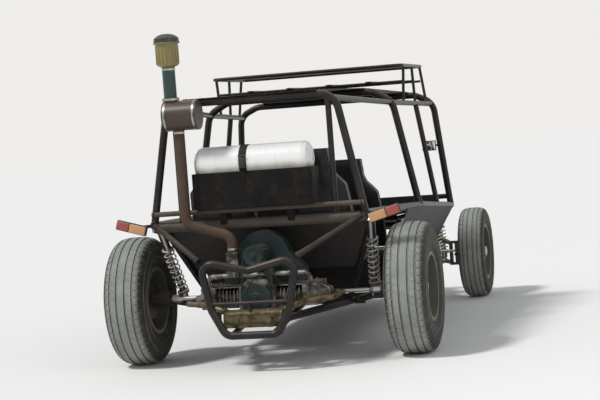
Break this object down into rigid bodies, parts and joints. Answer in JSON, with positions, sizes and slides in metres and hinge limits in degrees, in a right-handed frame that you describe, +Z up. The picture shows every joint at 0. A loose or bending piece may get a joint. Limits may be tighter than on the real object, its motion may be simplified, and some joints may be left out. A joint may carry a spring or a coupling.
{
  "type": "dune_buggy",
  "caption": "Open tube-frame desert buggy with front and rear seats, a rear engine with its fuel tank above, roof rack, raised air intake and steering front wheels.",
  "frame": {"origin": "on the ground under the middle of the vehicle's length and width", "axes": "+Y forward, +X to the right, +Z up"},
  "size_m": [1.905, 3.8599, 1.93],
  "materials": {
    "black_paint": "satin",
    "dusty_beam": "matt",
    "panel_blue_black": "satin",
    "roof_skin": "matt",
    "seat_vinyl": "satin",
    "tank_white": "gloss",
    "tray_black": "matt",
    "intake_olive": "satin",
    "duct_brown": "matt",
    "engine_alloy": "satin",
    "fan_black": "satin",
    "belt_rubber": "matt",
    "exhaust_steel": "matt",
    "arm_steel": "satin",
    "shock_steel": "satin",
    "bright_steel": "satin",
    "wheel_steel": "satin",
    "tyre_rubber": "matt",
    "lamp_amber": "gloss",
    "lamp_clear": "gloss",
    "control_black": "satin"
  },
  "bodies": {
    "frame": {"air_cleaner": "intake_olive", "cage_hoops": "black_paint", "cooling_fan": "fan_black", "cross_tubes": "black_paint", "dash_panel": "control_black", "driver_controls": "control_black", "engine": "engine_alloy", "engine_guard": "black_paint", "exhaust": "exhaust_steel", "fan_belt": "belt_rubber", "firewall": "roof_skin", "floor_pan": "roof_skin", "floor_rails": "black_paint", "front_arms": "arm_steel", "front_beam": "arm_steel", "front_bumper": "black_paint", "front_seats": "seat_vinyl", "fuel_tank": "tank_white", "headlamps": "lamp_clear", "intake_duct": "duct_brown", "mirrors": "control_black", "nose_panel": "panel_blue_black", "nose_rails": "black_paint", "rear_arms": "arm_steel", "rear_braces": "black_paint", "rear_crossbeam": "dusty_beam", "rear_seats": "seat_vinyl", "roof_panel": "roof_skin", "roof_rack": "black_paint", "roof_rack_slats": "black_paint", "shock_absorbers": "shock_steel", "side_panels": "panel_blue_black", "side_rails": "black_paint", "side_tubes": "black_paint", "steering_rack": "arm_steel", "tail_lamps": "lamp_amber", "tank_tray": "tray_black", "transaxle": "engine_alloy"},
    "steering_wheel": {"steering_wheel": "control_black"},
    "rack_bar": {"rack_bar": "bright_steel"},
    "knuckle_left": {"knuckle_left": "arm_steel"},
    "tie_rod_left": {"tie_rod_left": "bright_steel"},
    "front_wheel_left": {"front_wheel_left": "wheel_steel", "front_tyre_left": "tyre_rubber"},
    "rear_wheel_left": {"rear_wheel_left": "wheel_steel", "rear_tyre_left": "tyre_rubber", "half_shaft_left": "bright_steel"},
    "knuckle_right": {"knuckle_right": "arm_steel"},
    "tie_rod_right": {"tie_rod_right": "bright_steel"},
    "front_wheel_right": {"front_wheel_right": "wheel_steel", "front_tyre_right": "tyre_rubber"},
    "rear_wheel_right": {"rear_wheel_right": "wheel_steel", "rear_tyre_right": "tyre_rubber", "half_shaft_right": "bright_steel"}
  },
  "joints": [
    {"name": "steer_left", "type": "hinge", "parent": "frame", "child": "knuckle_left", "pos_m": [-0.665, 1.51, 0.325], "axis": [0, 0, 1], "range_deg": [-27, 27]},
    {"name": "tie_rod_turn_left", "type": "hinge", "parent": "knuckle_left", "child": "tie_rod_left", "pos_m": [-0.665, 1.4, 0.35], "axis": [0, 0, 1], "range_deg": [-27.5, 27.5]},
    {"name": "front_wheel_spin_left", "type": "hinge", "parent": "knuckle_left", "child": "front_wheel_left", "pos_m": [-0.795, 1.51, 0.325], "axis": [1, 0, 0], "continuous": true},
    {"name": "rear_wheel_spin_left", "type": "hinge", "parent": "frame", "child": "rear_wheel_left", "pos_m": [-0.83, -1.34, 0.38], "axis": [1, 0, 0], "continuous": true},
    {"name": "steer_right", "type": "hinge", "parent": "frame", "child": "knuckle_right", "pos_m": [0.665, 1.51, 0.325], "axis": [0, 0, 1], "range_deg": [-27, 27]},
    {"name": "tie_rod_turn_right", "type": "hinge", "parent": "knuckle_right", "child": "tie_rod_right", "pos_m": [0.665, 1.4, 0.35], "axis": [0, 0, 1], "range_deg": [-27.5, 27.5]},
    {"name": "front_wheel_spin_right", "type": "hinge", "parent": "knuckle_right", "child": "front_wheel_right", "pos_m": [0.795, 1.51, 0.325], "axis": [1, 0, 0], "continuous": true},
    {"name": "rear_wheel_spin_right", "type": "hinge", "parent": "frame", "child": "rear_wheel_right", "pos_m": [0.83, -1.34, 0.38], "axis": [1, 0, 0], "continuous": true},
    {"name": "rack_slide", "type": "slide", "parent": "frame", "child": "rack_bar", "axis": [1, 0, 0], "range_m": [-0.0505, 0.0505]},
    {"name": "steering_wheel_turn", "type": "hinge", "parent": "frame", "child": "steering_wheel", "pos_m": [-0.28, 0.43, 0.85], "axis": [0, -0.89, 0.4559], "range_deg": [-326, 326]}
  ],
  "couplings": [
    {"joint": "steer_right", "follows": "steer_left", "ratio": 1},
    {"joint": "tie_rod_turn_left", "follows": "steer_left", "ratio": -1},
    {"joint": "tie_rod_turn_right", "follows": "steer_left", "ratio": -1},
    {"joint": "rack_slide", "follows": "steer_left", "m_per_rad": 0.106},
    {"joint": "steering_wheel_turn", "follows": "steer_left", "ratio": 12}
  ]
}
